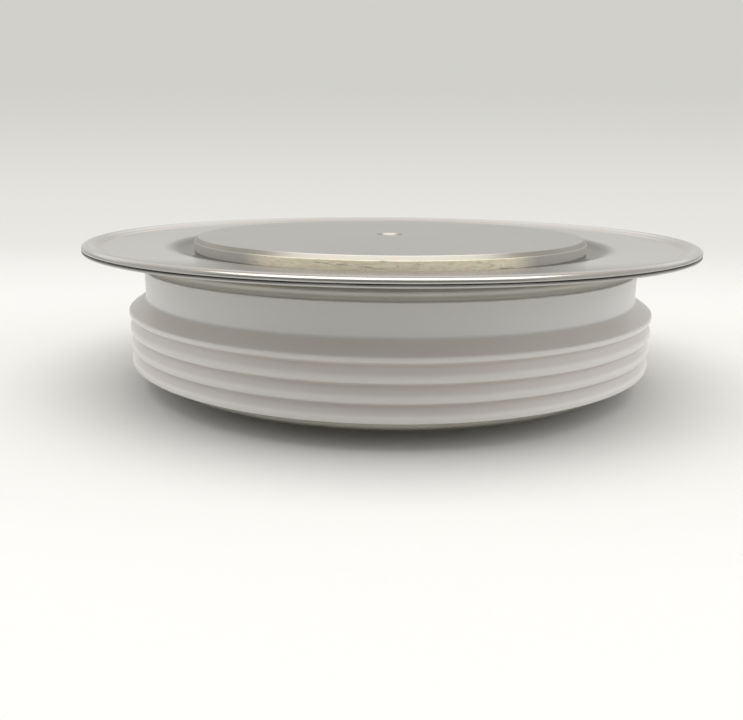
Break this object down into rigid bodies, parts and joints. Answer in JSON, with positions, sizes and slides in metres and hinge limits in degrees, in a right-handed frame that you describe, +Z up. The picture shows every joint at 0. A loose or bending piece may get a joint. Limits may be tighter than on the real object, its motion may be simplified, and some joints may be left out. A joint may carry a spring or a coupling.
{
  "type": "disc thyristor",
  "caption": "Press-pack disc thyristor: ribbed glazed ceramic ring, wide thin welded metal flange and a flat plated contact pole on each face, with a gate tube at the side.",
  "frame": {"origin": "centre of the lower contact face, on the capsule's axis", "axes": "+Z up along the axis to the upper contact face, +Y out along the gate tube, -Y towards the viewer of the picture"},
  "size_m": [0.111, 0.111, 0.026],
  "materials": {
    "plated_pole": "matte nickel plating on turned copper",
    "flange_sheet": "satin nickel plating on thin sheet",
    "glazed_ceramic": "white alumina with a clear glaze",
    "gate_metal": "satin nickel plating",
    "molybdenum": "ground",
    "silicon": "polished",
    "seal_rubber": "cast silicone",
    "silver": "rolled silver foil",
    "white_plastic": "white fluoropolymer",
    "spring_steel": "drawn wire",
    "contact_copper": "bare copper"
  },
  "bodies": {
    "root": {"anode_pole": "plated_pole", "anode_flange": "flange_sheet", "ceramic_ring": "glazed_ceramic", "housing_flange": "flange_sheet", "cathode_flange": "flange_sheet", "cathode_pole": "plated_pole", "gate_tube": "gate_metal", "anode_moly_plate": "molybdenum", "silicon_wafer": "silicon", "edge_seal": "seal_rubber", "cathode_moly_plate": "molybdenum", "silver_shim": "silver", "centring_ring": "white_plastic", "gate_cup": "white_plastic", "gate_spring": "spring_steel", "gate_pin": "contact_copper", "gate_bush": "white_plastic", "gate_wire": "contact_copper", "gate_sleeve": "white_plastic"}
  },
  "joints": []
}
